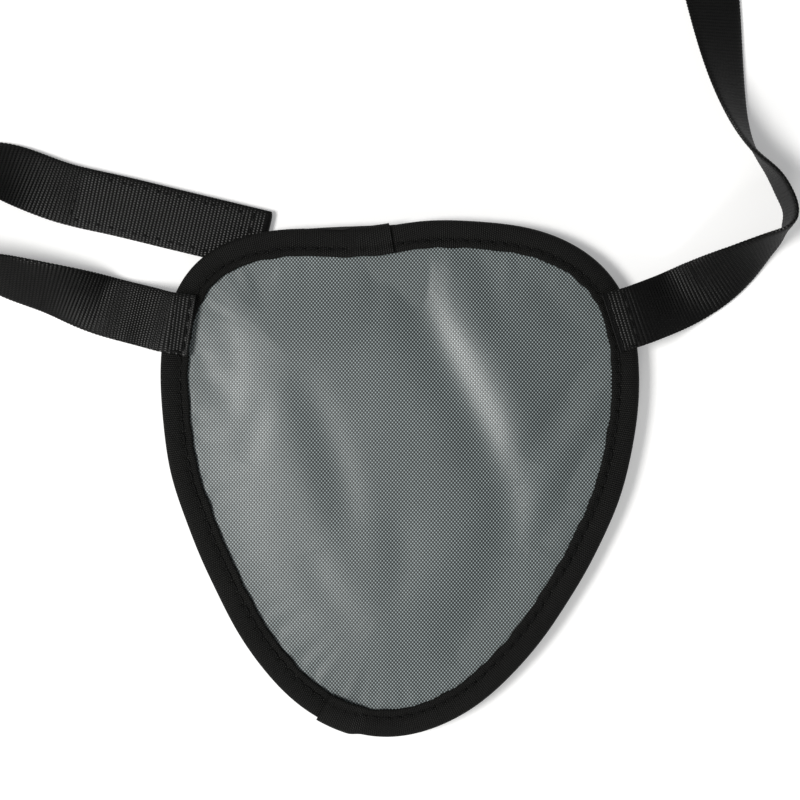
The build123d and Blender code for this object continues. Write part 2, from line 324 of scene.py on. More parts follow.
# %% Weave, rib and variation groups
FLOAT, VECTOR, COLOUR = "NodeSocketFloat", "NodeSocketVector", "NodeSocketColor"


def plain_weave_group():
    """Height is the root of |sin(pi u) sin(pi v)|, the rounded top of each yarn, and Over is
    1 where a warp yarn is on top and 0 where a weft yarn is, with u and v in yarns."""
    tree, given, made = new_group(
        "plain_weave",
        [("Vector", VECTOR, None), ("Warp pitch", FLOAT, 0.3), ("Weft pitch", FLOAT, 0.3),
         ("Lean", FLOAT, 0.0)],
        [("Height", FLOAT), ("Over", FLOAT)])
    x, y = x_and_y(tree, given["Vector"])
    u = ("DIVIDE", x, given["Warp pitch"])
    v = ("DIVIDE", ("SUBTRACT", y, ("MULTIPLY", x, given["Lean"])), given["Weft pitch"])
    warp, weft = ("SINE", ("MULTIPLY", u, np.pi)), ("SINE", ("MULTIPLY", v, np.pi))
    product = math_node(tree, "MULTIPLY", warp, weft)
    feed(tree, made["Height"], math_node(tree, "POWER", ("ABSOLUTE", product), 0.5))
    feed(tree, made["Over"], math_node(tree, "MULTIPLY", ("ADD", product, 1.0), 0.5))
    return tree


def ribs_group():
    """Rib is 1 on a rib's crest and 0 in the furrow, from a cosine of the way along. Yarn is
    the rounded top of the fine yarns that cross the ribs, one set for each second rib, and
    Height adds a share of it to the rib."""
    tree, given, made = new_group(
        "cross_ribs",
        [("Vector", VECTOR, None), ("Rib pitch", FLOAT, 0.6), ("Yarn pitch", FLOAT, 0.4),
         ("Yarn share", FLOAT, 0.3)],
        [("Height", FLOAT), ("Rib", FLOAT), ("Yarn", FLOAT)])
    x, y = x_and_y(tree, given["Vector"])
    ribs = math_node(tree, "DIVIDE", x, given["Rib pitch"])
    wave = ("COSINE", ("MULTIPLY", ribs, 2 * np.pi))
    rib = math_node(tree, "MULTIPLY", ("ADD", wave, 1.0), 0.5)
    shift = ("MULTIPLY", ("ABSOLUTE", ("MODULO", ("ROUND", ribs), 2.0)), np.pi / 2)
    across = ("MULTIPLY", ("DIVIDE", y, given["Yarn pitch"]), np.pi)
    yarn = math_node(tree, "POWER", ("ABSOLUTE", ("SINE", ("ADD", across, shift))), 0.6)
    feed(tree, made["Height"], math_node(tree, "ADD", rib, ("MULTIPLY", yarn, given["Yarn share"])))
    feed(tree, made["Rib"], rib)
    feed(tree, made["Yarn"], yarn)
    return tree


def cloth_variation_group():
    """A colour made lighter and darker by two sizes of noise: broad patches and fine fuzz."""
    tree, given, made = new_group(
        "cloth_variation",
        [("Vector", VECTOR, None), ("Color", COLOUR, (0.5, 0.5, 0.5, 1)), ("Patch size", FLOAT, 10.0),
         ("Fuzz size", FLOAT, 0.4), ("Amount", FLOAT, 0.2)],
        [("Color", COLOUR), ("Fuzz", FLOAT)])
    noises = []
    for size in ("Patch size", "Fuzz size"):
        noise = tree.nodes.new("ShaderNodeTexNoise")
        feed(tree, noise.inputs["Detail"], 2.0)
        feed(tree, noise.inputs["Vector"], given["Vector"])
        feed(tree, noise.inputs["Scale"], math_node(tree, "DIVIDE", 1.0, given[size]))
        noises.append(noise.outputs[0])
    total = ("ADD", *[("SUBTRACT", noise, 0.5) for noise in noises])
    scale = tree.nodes.new("ShaderNodeVectorMath")
    scale.operation = "SCALE"
    feed(tree, scale.inputs[0], given["Color"])
    feed(tree, scale.inputs["Scale"], math_node(tree, "ADD", ("MULTIPLY", total, given["Amount"]), 1.0))
    feed(tree, made["Color"], scale.outputs[0])
    feed(tree, made["Fuzz"], noises[1])
    return tree


PLAIN_WEAVE = plain_weave_group()
CROSS_RIBS = ribs_group()
CLOTH_VARIATION = cloth_variation_group()
print("node groups:", [group.name for group in bpy.data.node_groups])

# %% [markdown]
# ## The finishes
# A pattern that runs with a strap or a tape has to bend with it, so it reads the piece's own
# UV map, which holds millimetres along and across the cloth. The panel's cloth lies flat, so
# its weave reads Object coordinates. One function makes each family of finish, and each
# number that is the same all over is set on the shader itself.

# %% Materials
def new_material(name, specular, sheen=0.0):
    """A material with its shader set, its node tree, and its shader's inputs."""
    material = bpy.data.materials.new(name)
    material.use_nodes = True
    shader = material.node_tree.nodes["Principled BSDF"].inputs
    shader["Sheen Weight"].default_value = sheen
    shader["Sheen Roughness"].default_value = 0.4
    shader["Specular IOR Level"].default_value = specular
    return material, material.node_tree, shader


def millimetres(tree, use_uv):
    """The pattern's coordinates in mm: the UV map as it is, or Object coordinates scaled."""
    if use_uv:
        source = tree.nodes.new("ShaderNodeUVMap")
        source.uv_map = "cloth_mm"
        return source.outputs["UV"]
    source = tree.nodes.new("ShaderNodeTexCoord")
    scale = tree.nodes.new("ShaderNodeMapping")
    feed(tree, scale.inputs["Scale"], (1 / MM, 1 / MM, 1 / MM))
    feed(tree, scale.inputs["Vector"], source.outputs["Object"])
    return scale.outputs["Vector"]


def add_bump(tree, shader, height, depth_mm):
    """Feeds the shader's normal from a height, of which 1 is depth_mm deep."""
    bump = tree.nodes.new("ShaderNodeBump")
    feed(tree, bump.inputs["Strength"], 1.0)
    feed(tree, bump.inputs["Distance"], depth_mm * MM)
    feed(tree, bump.inputs["Height"], height)
    feed(tree, shader["Normal"], bump.outputs["Normal"])


def mix_colours(tree, factor, first, second):
    """The colour first where factor is 0, and second where it is 1."""
    mix = tree.nodes.new("ShaderNodeMix")
    mix.data_type = "RGBA"
    feed(tree, mix.inputs["Factor"], factor)
    feed(tree, mix.inputs[6], (*first, 1))
    feed(tree, mix.inputs[7], (*second, 1))
    return mix.outputs[2]


def vary(tree, shader, place, colour, patch, fuzz, amount):
    """Feeds the shader an uneven colour, and returns the fine noise that it came from."""
    varied = use_group(tree, CLOTH_VARIATION, Vector=place, Color=colour, Patch_size=patch,
                       Fuzz_size=fuzz, Amount=amount)
    feed(tree, shader["Base Color"], varied["Color"])
    return varied["Fuzz"]


def coated_weave(name, over, under, warp, weft, lean, roughness, specular, depth, amount):
    """Plain-woven cloth: the yarns on top in one colour, the others in a darker one."""
    material, tree, shader = new_material(name, specular)
    place = millimetres(tree, False)
    weave = use_group(tree, PLAIN_WEAVE, Vector=place, Warp_pitch=warp, Weft_pitch=weft, Lean=lean)
    colour = mix_colours(tree, math_node(tree, "POWER", weave["Over"], 3.4), under, over)
    vary(tree, shader, place, colour, 14.0, 0.5, amount)
    on_top = ("MULTIPLY", weave["Over"], weave["Height"])
    feed(tree, shader["Roughness"],
         math_node(tree, "SUBTRACT", roughness + 0.08, ("MULTIPLY", on_top, 0.16)))
    add_bump(tree, shader, weave["Height"], depth)
    return material


def ribbed_cloth(name, crest, furrow, rib_pitch, yarn_pitch, yarn_share, depth, roughness, specular):
    """Ribbed webbing, tape or thread, with fine yarns over the ribs. Its colour holds painted shade in the
    furrows and a painted highlight on the ribs' crests, brightest on the fine yarns' tops.
    """
    material, tree, shader = new_material(name, specular)
    place = millimetres(tree, True)
    ribs = use_group(tree, CROSS_RIBS, Vector=place, Rib_pitch=rib_pitch, Yarn_pitch=yarn_pitch,
                     Yarn_share=yarn_share)
    # painted light and shade: the crest colour is a painted highlight on the crests and yarn tops, the furrow
    # colour painted shade in the furrows
    painted_rib_light = math_node(tree, "MULTIPLY", ribs["Rib"], ("ADD", ("MULTIPLY", ribs["Yarn"], 0.5), 0.5))
    fuzz = vary(tree, shader, place, mix_colours(tree, painted_rib_light, furrow, crest), 9.0, 0.35, 0.7)
    feed(tree, shader["Roughness"], math_node(tree, "ADD", ("MULTIPLY", fuzz, 0.2), roughness - 0.1))
    add_bump(tree, shader, ribs["Height"], depth)
    return material


def fuzzy_cloth(name, colour, fuzz_size, depth, roughness, amount, sheen=0.0):
    """Brushed cloth, foam or pile: an even colour broken by fine noise, with no weave."""
    material, tree, shader = new_material(name, 0.25, sheen)
    fuzz = vary(tree, shader, millimetres(tree, False), (*colour, 1), 8.0, fuzz_size, amount)
    feed(tree, shader["Roughness"], math_node(tree, "ADD", ("MULTIPLY", fuzz, 0.15), roughness - 0.08))
    add_bump(tree, shader, fuzz, depth)
    return material


def grey(value):
    """An even grey, as a colour."""
    return (value, value, value)


RIB = 0.59                # mm from rib to rib of the webbing
TWIST = 0.35              # mm along the thread for each turn of its plies
FACE_CLOTH = coated_weave("coated_grey_cloth", (0.50, 0.59, 0.60), (0.006, 0.008, 0.008), warp=0.281,
                          weft=0.323, lean=0.06, roughness=0.33, specular=0.75, depth=0.010, amount=0.25)
LINING_CLOTH = coated_weave("black_lining", (0.022, 0.022, 0.023), grey(0.006), warp=0.22,
                            weft=0.22, lean=0.0, roughness=0.85, specular=0.2, depth=0.03, amount=0.6)
# each crest colour below is a painted highlight on the ribs' crests, and each furrow grey is painted shade in
# the furrows
WEBBING, TAPE, THREAD, ELASTIC = [
    ribbed_cloth(name, crest, grey(furrow), *numbers)
    # the numbers are rib pitch, yarn pitch, yarns' share, depth in mm, roughness, specular
    for name, crest, furrow, *numbers in (
        ("black_webbing", (0.0048, 0.0048, 0.0044), 0.0005, RIB, 0.42, 1.4, 0.035, 0.35, 0.20),
        ("black_binding_tape", (0.010, 0.010, 0.009), 0.001, 0.36, 0.36, 0.9, 0.09, 0.45, 0.17),
        ("black_thread", grey(0.008), 0.001, TWIST, 0.5, 0.2, 0.05, 0.55, 0.12),
        ("black_elastic", (0.018, 0.018, 0.017), 0.002, 0.5, 0.35, 0.3, 0.04, 0.6, 0.2))]
FOAM = fuzzy_cloth("grey_foam", grey(0.16), 0.5, 0.2, 0.95, 0.8)
CORE = fuzzy_cloth("black_core_sheet", grey(0.01), 1.5, 0.02, 0.6, 0.3)
LOOP_PILE = fuzzy_cloth("black_loop_pile", (0.012, 0.012, 0.013), 0.25, 0.2, 0.95, 0.9, sheen=0.2)
HOOK_TAPE = fuzzy_cloth("black_hook_tape", grey(0.008), 0.8, 0.03, 0.4, 0.3)
print("finishes:", len(bpy.data.materials))

# %% [markdown]
# ## The patch's outline
# Every layer of the panel follows one outline. It is read off the CAD binding: the farthest
# points from the middle lie on the patch's edge. Their distance from the middle, as a function
# of the angle, is fitted with a short Fourier series, which gives a smooth closed curve with
# a normal at each point. Moving in along the normal gives every inner line, such as the seam.

# %% Outline
BINS = 90                 # angular steps in which the farthest CAD point is found
NEAR_EDGE = 1.5           # mm within the farthest point, where points still count as the edge
HARMONICS = 16            # of the series that is fitted
RIM_SAMPLES = 4096


def node_points(name):
    """A CAD node's vertices, in mm."""
    mesh = frame["nodes"][name].data
    flat = np.empty(3 * len(mesh.vertices))
    mesh.vertices.foreach_get("co", flat)
    return flat.reshape(-1, 3) / MM


def series(angle, harmonics):
    """The columns 1, cos ka and sin ka of a Fourier series, for k up to harmonics."""
    turns = angle[:, None] * np.arange(1, harmonics + 1)
    return np.concatenate([np.ones((len(angle), 1)), np.cos(turns), np.sin(turns)], 1)


edge_points = np.concatenate([node_points("binding_left"), node_points("binding_right")])
edge_angle = np.arctan2(edge_points[:, 1], edge_points[:, 0])
edge_reach = np.hypot(edge_points[:, 0], edge_points[:, 1])
bin_number = ((edge_angle + np.pi) / (2 * np.pi) * BINS).astype(int) % BINS
farthest = np.zeros(BINS)
np.maximum.at(farthest, bin_number, edge_reach)
on_edge = edge_reach > farthest[bin_number] - NEAR_EDGE
terms = series(edge_angle[on_edge], HARMONICS)
steadier = 1e-6 * np.eye(terms.shape[1])      # keeps the system solvable
weights = np.linalg.solve(terms.T @ terms + steadier, terms.T @ edge_reach[on_edge])

rim_angle = np.linspace(0, 2 * np.pi, RIM_SAMPLES, endpoint=False)
rim_reach = series(rim_angle, HARMONICS) @ weights
rim_points = rim_reach[:, None] * np.stack([np.cos(rim_angle), np.sin(rim_angle)], 1)
rim_length = lengths_along(np.concatenate([rim_points, rim_points[:1]]))
RIM = rim_length[-1]
rim_way = normalised(np.roll(rim_points, -1, 0) - np.roll(rim_points, 1, 0))
rim_out = np.stack([rim_way[:, 1], -rim_way[:, 0]], 1)
print("edge length, mm:", round(RIM, 1), " fit error, mm:",
      round(float(np.abs(terms @ weights - edge_reach[on_edge]).max()), 3))


def round_rim(values, s):
    """Reads a table of values along the rim at lengths s, going round as often as needed."""
    closed = np.concatenate([values, values[:1]])
    return np.stack([np.interp(s % RIM, rim_length, closed[:, k]) for k in range(closed.shape[1])], -1)


def rim_at(s, inset):
    """Points on the line that runs inset mm inside the patch's edge."""
    return round_rim(rim_points, s) - np.asarray(inset)[..., None] * round_rim(rim_out, s)


def rim_length_at(angle):
    """How far round the rim the edge's point at an angle from the middle lies."""
    return np.interp(angle % (2 * np.pi), np.append(rim_angle, 2 * np.pi), rim_length)


# %% [markdown]
# ## The layers of the panel
# Each sheet covers the outline with a grid. A square grid is pressed into a disc, and the
# disc is stretched out to the outline, so there is no pole in the middle to pinch the cloth.
# The face cloth is sewn down at the tape and held up by the foam, so its height is a gentle
# crown, with the long soft creases of a laminated cloth and short puckers that fan in from the
# seam. The lining dips over the foam and reaches down to the table.

# %% Panel grids
def disc_grid(n):
    """A grid of n by n points on the unit disc: x = u sqrt(1 - v^2/2), y = v sqrt(1 - u^2/2)."""
    u, v = np.meshgrid(np.linspace(-1, 1, n), np.linspace(-1, 1, n), indexing="ij")
    return np.stack([u * np.sqrt(1 - v * v / 2), v * np.sqrt(1 - u * u / 2)], -1)


def panel_grid(n, inset):
    """The disc grid stretched to the outline drawn in by inset. Returns x and y, each point's
    distance in from the patch's edge, and how far round the rim it is nearest to."""
    disc = disc_grid(n)
    line = rim_at(rim_length_at(np.arctan2(disc[..., 1], disc[..., 0])), inset)
    xy = line * np.linalg.norm(disc, axis=-1)[..., None]
    few = slice(None, None, 8)                # every eighth rim point is close enough at first
    near = np.empty(xy.shape[:2], int)
    for i, row in enumerate(xy):
        gaps = row[:, None] - rim_points[None, few]
        near[i] = np.hypot(gaps[..., 0], gaps[..., 1]).argmin(1)
    nearest = rim_length[:-1][few][near]
    nearest = nearest + np.sum((xy - rim_at(nearest, 0)) * round_rim(rim_way, nearest), -1)
    depth = np.linalg.norm(xy - rim_at(nearest, 0), axis=-1)
    return xy[..., 0], xy[..., 1], depth, nearest


def panel_layer(name, node, slot, x, y, top, low, material):
    """A layer of the panel between the heights top and low over the grid x, y."""
    upper, lower = np.stack([x, y, top], -1), np.stack([x, y, low], -1)
    piece = layer_piece(name, upper, lower, x[:, 0], y[0], material)
    hand_over(piece, "panel", slot, node)
    print(name, "from", low.min().round(2), "to", top.max().round(2), "mm high")
    return piece


def heights_of(node):
    """A node's lowest and highest height, in mm."""
    low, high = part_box(node)
    return low[2] / MM, high[2] / MM


FACE_LOW, FACE_TOP = heights_of("face_fabric")
CORE_LOW, CORE_TOP = heights_of("blackout_core")
TAPE_LOW, TAPE_TOP = heights_of("binding_left")
TAPE_THICK = TAPE_TOP - FACE_TOP
LAP = 4.7                 # mm, the tape's reach in from the edge
SEAM_INSET = 3.35         # mm, the seam's place on the tape
TUCK = 1.0                # mm in from the edge, where the sheets end inside the tape

# %% Face cloth
CROWN = 1.05              # mm that the foam lifts the face above its flat CAD height
SUNKEN = 0.12             # mm that the tape presses the face down
PUCKER = 0.10             # mm, the short gathers along the seam
UNEVEN = 0.07             # mm, the face's broad unevenness
FACE_GRID = 210


def crease(x, y, points, left_width, right_width, depth):
    """A long soft groove along a smooth curve: minus depth times exp(-(distance / width)^2),
    with one width on the curve's left and one on its right. Along the curve the depth is a
    half sine's root, so it comes and goes at the two ends."""
    knots = lengths_along(points)
    line = curve_through(knots, points, np.linspace(0, knots[-1], 70))
    way = normalised(np.gradient(line, axis=0))
    away = np.stack([x, y], -1)[..., None, :] - line
    near = np.argmin((away ** 2).sum(-1), -1)
    gap = np.take_along_axis(away, near[..., None, None], 2)[..., 0, :]
    aside = way[near, 0] * gap[..., 1] - way[near, 1] * gap[..., 0]
    width = np.where(aside > 0, left_width, right_width)
    share = np.sqrt(np.sin(np.pi * (near + 0.5) / len(line)))
    return -depth * share * np.exp(-(gap ** 2).sum(-1) / width ** 2)


# points along each crease, its widths on the left and right, and its depth, all in mm: a
# groove's depth is positive and a ridge's negative
CREASES = [
    ([(0, 44), (1.8, 35), (4.4, 26.5), (9, 16.5), (14, 6.5), (17.5, -4), (18, -13)], 4.4, 4.3, 0.98),
    ([(6.5, 44), (8.6, 36), (12.2, 26.5), (17.6, 16), (22.4, 5), (25.4, -5), (26, -14)], 4.2, 8.0, -0.48),
    ([(18, 0), (17, -11), (13.5, -21), (8, -31)], 4.6, 4.0, 0.40),
    ([(37, 20.5), (31, 16.5), (25.5, 10), (22, 3)], 3.0, 2.4, 0.50),
    ([(39.5, 18), (34.8, 13.8), (29, 6.8), (25.5, 0)], 2.5, 3.2, -0.40),
    ([(-17, 18), (-13, 9), (-10.5, 1.5), (-8, -8)], 3.4, 3.4, 0.33),
    ([(33, 6), (28, -2), (23, -12)], 3.0, 2.4, 0.40),
    ([(36.5, 5), (33.5, -4), (28.5, -13)], 2.4, 2.6, -0.25),
    ([(22.5, 34.5), (26.5, 28.5), (31.5, 24)], 2.2, 2.2, 0.16),
    ([(-36, 22), (-31, 16), (-27, 10)], 2.4, 2.4, 0.10),
    ([(-26.5, 3), (-24, 8.5), (-22.5, 15)], 2.4, 2.4, 0.09),
    ([(-31, 29), (-28, 21), (-28, 13)], 2.4, 2.4, 0.08),
    ([(-25, 29), (-22.5, 34), (-22, 40)], 1.8, 1.8, 0.20),
    ([(-5, 40), (-4, 34), (-5, 26)], 2.0, 2.0, 0.15),
    ([(-15, -12), (-11.5, -20), (-5.5, -26)], 2.8, 2.8, 0.14),
    ([(-1.5, -6), (0, -14), (-2, -22)], 2.8, 2.8, 0.14),
    ([(13, 40), (15, 33), (16.5, 25)], 2.2, 2.2, 0.18),
]


def face_height(x, y, depth, s):
    """The face's height: flat under the tape, a crown beyond it, the long creases, and
    puckers that are sines of the way round, strongest at the seam and faint 9 mm in from it."""
    inside = smooth((depth - SEAM_INSET) / 19.0)
    height = FACE_TOP - SUNKEN + CROWN * inside + 0.10 * smooth((depth - 4) / 26)
    for groove in CREASES:
        height = height + smooth((depth - SEAM_INSET) / 5.0) * crease(x, y, *groove)
    pucker = waves(s, [5.3, 7.9, 3.7, 12.4], 3) * (0.7 + 0.5 * waves(s, [43.0, 71.0], 4))
    fading = smooth((depth - 4.2) / 1.5) * np.exp(-np.maximum(depth - LAP, 0) / 3.6)
    broad = waves(x * 0.97 + y * 0.22, [9.5, 14.1, 21.0], 5) * waves(y - x * 0.2, [37.0, 55.0], 6)
    return height + PUCKER * pucker * fading + UNEVEN * inside * broad


x, y, depth, s = panel_grid(FACE_GRID, TUCK)
top = np.maximum(face_height(x, y, depth, s), CORE_TOP + 0.25)
low = np.maximum(CORE_TOP + 0.02, top - (FACE_TOP - FACE_LOW))
face = panel_layer("face_cloth", "face_fabric", "face_fabric", x, y, top, low, FACE_CLOTH)

# %% Foam pad and lining
PAD_EDGE = 5.2            # mm in from the patch's edge, where the padding starts
PAD_SLOPE = 8.0           # mm over which it reaches its full thickness
LINING_THICK = 0.35
FOAM_GAP = 0.03           # mm between the foam and the core
GATHER = 0.16             # mm, the lining's small folds round the foam
BRIM_LOW = TAPE_LOW + TAPE_THICK


def skin_height(depth, s):
    """The skin side's height: the brim inside the tape, a rounded fall to the table, and
    small folds where the lining is gathered round the foam."""
    fall = smooth((depth - PAD_EDGE) / PAD_SLOPE) ** 0.8
    gather = waves(s, [4.9, 6.7, 3.1], 9) * np.sin(np.pi * np.clip((depth - PAD_EDGE) / PAD_SLOPE, 0, 1))
    return (BRIM_LOW + 0.03) * (1 - fall) + GATHER * gather * (fall < 1)


x, y, depth, s = panel_grid(170, TUCK)
low = np.maximum(skin_height(depth, s), 0.0)
lining = panel_layer("lining_cloth", "lining_fabric", "lining", x, y, low + LINING_THICK, low, LINING_CLOTH)

x, y, depth, s = panel_grid(120, PAD_EDGE + 0.5)
low = np.minimum(skin_height(depth, s * 0) + 0.4, CORE_LOW - 0.35)
top = np.full(x.shape, CORE_LOW - FOAM_GAP)
foam = panel_layer("foam_cushion", "foam_pad", "foam", x, y, top, low, FOAM)

core = frame["nodes"]["blackout_core"]
core.data.materials.clear()
core.data.materials.append(CORE)

# %% [markdown]
# ## The folded tape
# The binding is one profile carried round the rim: a thin strip folded in half over the
# patch's edge. Its middle line is a curve through a few points, given as distance in from
# the edge and height, and its thickness is laid off square to that line. The seam pulls it
# down at each needle hole, so the tape is a row of little pillows along the stitches. At the
# brow and beside the tip one length of tape laps over the other.

# %% Binding profile
FOLD_LINE = np.array([    # distance in from the edge, and height over the tape's lowest point
    (LAP, 2.06), (4.1, 2.07), (SEAM_INSET, 1.97), (2.5, 2.05), (1.5, 2.05), (0.75, 1.86), (0.34, 1.5),
    (0.23, 1.12), (0.34, 0.74), (0.75, 0.38), (1.5, 0.23), (2.5, 0.22), (SEAM_INSET, 0.28), (LAP, 0.24),
])
TAPE_POINTS = 44          # points along the folded tape's width
RINGS_PER_STITCH = 12
OVERLAP = 5.5             # mm that one tape laps over the other
HOLE = 0.46               # mm, the reach of a needle hole's dimple
HOLE_DEPTH = 0.30
WANDER = 0.13             # mm that the upper inner edge strays sideways
FLUTTER = 0.09            # mm that it strays up and down
PUFF = 0.07               # mm that the lap's middle swells and sinks
STITCH_PITCH = 2.1        # mm from needle hole to needle hole, in every seam
FOLD_HEIGHT = FOLD_LINE[7, 1]

STITCHES = round(lengths_along(rim_at(rim_length, SEAM_INSET))[-1] / STITCH_PITCH)
STITCH_STEP = RIM / STITCHES      # of the rim's length, for each stitch


def folded_tape(s, lifted):
    """Both faces of the tape at lengths s round the rim, and the way across it. lifted moves
    it outwards, square to its own middle line, where it laps over the other tape."""
    knots = lengths_along(FOLD_LINE)
    at = np.linspace(0, knots[-1], TAPE_POINTS)
    line = curve_through(knots, FOLD_LINE, at)
    way = normalised(np.gradient(line, axis=0))
    outwards = np.stack([way[:, 1], -way[:, 0]], 1)          # away from the panel's inside
    rounding = np.minimum(1, np.sqrt(np.minimum(at, at[-1] - at) / 0.3 + 0.05))
    upper_half = line[:, 1] > FOLD_HEIGHT
    near_edge = smooth(1 - at / 2.2)                         # 1 at the upper inner edge
    inner = near_edge * WANDER * waves(s, [6.3, 9.7, 4.4], 11)[:, None]
    flutter = near_edge * FLUTTER * waves(s, [5.1, 8.3], 12)[:, None]
    belly = np.exp(-((line[:, 0] - 1.9) / 0.9) ** 2) * upper_half
    puff = PUFF * belly * waves(s, [7.3, 4.1, 11.0], 13)[:, None]
    hole = np.exp(-((line[:, 0] - SEAM_INSET) / HOLE) ** 2) * np.where(upper_half, 1, -1)
    pull = (0.5 + 0.5 * np.cos(2 * np.pi * s / STITCH_STEP)) ** 7
    dent = HOLE_DEPTH * (0.25 + 0.75 * pull)[:, None] * hole
    faces = []
    for side in (1, -1):
        shift = lifted[:, None] + side * TAPE_THICK / 2 * rounding
        inset = line[:, 0] + inner + outwards[:, 0] * shift
        height = line[:, 1] + flutter + puff - dent + outwards[:, 1] * shift
        xy = rim_at(np.broadcast_to(s[:, None], inset.shape), inset)
        faces.append(np.concatenate([xy, (height + TAPE_LOW)[..., None]], -1)[:, ::-1])
    return faces[0], faces[1], at[::-1]


# %% The two tapes
def join_length(high):
    """How far round the rim the two tapes meet, at the brow or at the tip. The join is where
    the left tape reaches farthest to the right."""
    points = node_points("binding_left")
    points = points[(points[:, 1] > 0) == high]
    x, y = points[points[:, 0].argmax(), :2]
    return float(rim_length_at(np.arctan2(y, x)))


def binding_tape(name, node, start, end):
    """One tape from start to end round the rim, both ends included. It lies over the other
    tape at its start, and its end runs on under the other one."""
    count = round((end - start) / STITCH_STEP * RINGS_PER_STITCH)
    s = np.linspace(start, end, count + 1)
    lifted = (TAPE_THICK + 0.02) * (1 - smooth((s - start - OVERLAP) / 2.5))
    outer, inner, across = folded_tape(s, lifted)
    tape = layer_piece(name, outer, inner, s, across, TAPE)
    hand_over(tape, "panel", "binding", node)
    print(name, "length, mm:", round(end - start, 1), " folded round, mm:", round(float(across[0]), 1))


BROW = join_length(True)
TIP = join_length(False)
binding_tape("binding_tape_left", "binding_left", BROW, TIP + OVERLAP)
binding_tape("binding_tape_right", "binding_right", TIP - RIM, BROW + OVERLAP)

# %% [markdown]
# ## Stitches
# A lockstitch shows as a short length of thread between two needle holes, proud in the
# middle and pulled down at its ends. Hundreds of them would be heavy as curves, so each is a
# tube of a few dozen faces, and a whole seam is one mesh. The tube's UV map winds round the
# thread, so the ribs of the thread's material look like twisted plies.

# %% Thread tubes
THREAD_WIDTH = 0.34


def tube_bundle(name, lines, side, radius, material, sides=6):
    """Many short tubes in one mesh. lines is (tubes, rings, 3) in mm, side is one unit vector
    a tube, square to the plane that its line lies in, and radius is one value a ring. Each
    ring is a circle: cos a times side plus sin a times the line's own up."""
    count, rings = lines.shape[:2]
    way = normalised(np.gradient(lines, axis=1))
    side = np.broadcast_to(side[:, None], lines.shape)
    up = np.cross(side, way)
    turn = 2 * np.pi * np.arange(sides) / sides
    circle = np.cos(turn)[:, None] * side[:, :, None] + np.sin(turn)[:, None] * up[:, :, None]
    points = lines[:, :, None] + circle * np.asarray(radius)[None, :, None, None]
    first = (np.arange(count) * rings * sides)[:, None, None]
    i, j = np.meshgrid(np.arange(rings - 1), np.arange(sides), indexing="ij")
    ahead = (j + 1) % sides
    cells = np.stack([i * sides + j, (i + 1) * sides + j, (i + 1) * sides + ahead, i * sides + ahead], -1)
    cells = (first[..., None] + cells[None]).reshape(-1, 4)
    along = lengths_along(lines[0])
    row = np.stack([i, i + 1, i + 1, i], -1)
    column = np.stack([j, j, j + 1, j + 1], -1)
    uv = np.stack([along[row] + TWIST * column / sides, column / sides * 2 * np.pi * np.max(radius)], -1)
    uv = np.tile(uv.reshape(-1, 2), (count, 1))
    near = (first[:, 0] + np.arange(sides)).tolist()
    far = (first[:, 0] + (rings - 1) * sides + np.arange(sides)[::-1]).tolist()
    uv = np.concatenate([uv, np.zeros((2 * count * sides, 2))])
    return new_piece(name, points, cells.tolist() + near + far, uv, material)


def stitches(name, starts, ends, up):
    """A seam's stitches from start to end points. Each rises by about half the thread's width
    along a half sine, and thins into its two needle holes."""
    t = np.linspace(0, 1, 7)
    up = np.broadcast_to(np.asarray(up, float), starts.shape)
    side = normalised(np.cross(ends - starts, up))
    lines = starts[:, None] + (ends - starts)[:, None] * t[:, None]
    lines = lines + up[:, None] * (THREAD_WIDTH * 0.55 * np.sin(np.pi * t) - THREAD_WIDTH * 0.3)[:, None]
    return tube_bundle(name, lines, side, THREAD_WIDTH / 2 * (0.5 + 0.5 * np.sin(np.pi * t) ** 0.5), THREAD)


# %% The binding's two rows
def binding_row(height):
    """Each stitch's two ends: just short of its needle holes, at the row's inset."""
    hole = np.arange(STITCHES) * STITCH_STEP
    sway = SEAM_INSET + 0.06 * waves(hole, [9.3, 14.7], 21)
    ends = []
    for share in (0.10, 0.90):
        s = hole + share * STITCH_STEP
        ends.append(np.concatenate([rim_at(s, sway), np.full((STITCHES, 1), height)], 1))
    return ends


upper_row = stitches("edge_stitches", *binding_row(TAPE_LOW + 2.14), (0, 0, 1))
hand_over(upper_row, "panel", "thread", "binding_stitches")
lower_row = stitches("edge_bobbin_stitches", *binding_row(TAPE_LOW + 0.10), (0, 0, -1))
hand_over(lower_row, "panel", "thread", "binding_bobbin_stitches")
print("stitches a row:", STITCHES)

# %% [markdown]
# ## Webbing
# Webbing can't stretch sideways, so where a strap turns a corner it stands up on edge. A
# strap is described by stations along it: the place of its middle line, the height of its
# lower edge and its roll. A smooth curve through them gives a centre, a direction across the
# webbing and a normal at every step, and the ribs are laid on that frame: each rib is an
# arch, the root of the absolute cosine of the way along, and each reaches a little past the
# edge. The ribs are real geometry, so the edge is serrated and the gloss breaks up.

# %% Webbing helpers
WIDTH = 10.2
THICK = 0.9
RIB_DEPTH = 0.075
RINGS_PER_RIB = 6
RIB_SLANT = 0.10          # mm that a rib slants from the strap's middle to its edge
SEALED = 0.7              # mm of a heat-sealed end without ribs
BEAD = 0.10               # mm that its bead is proud


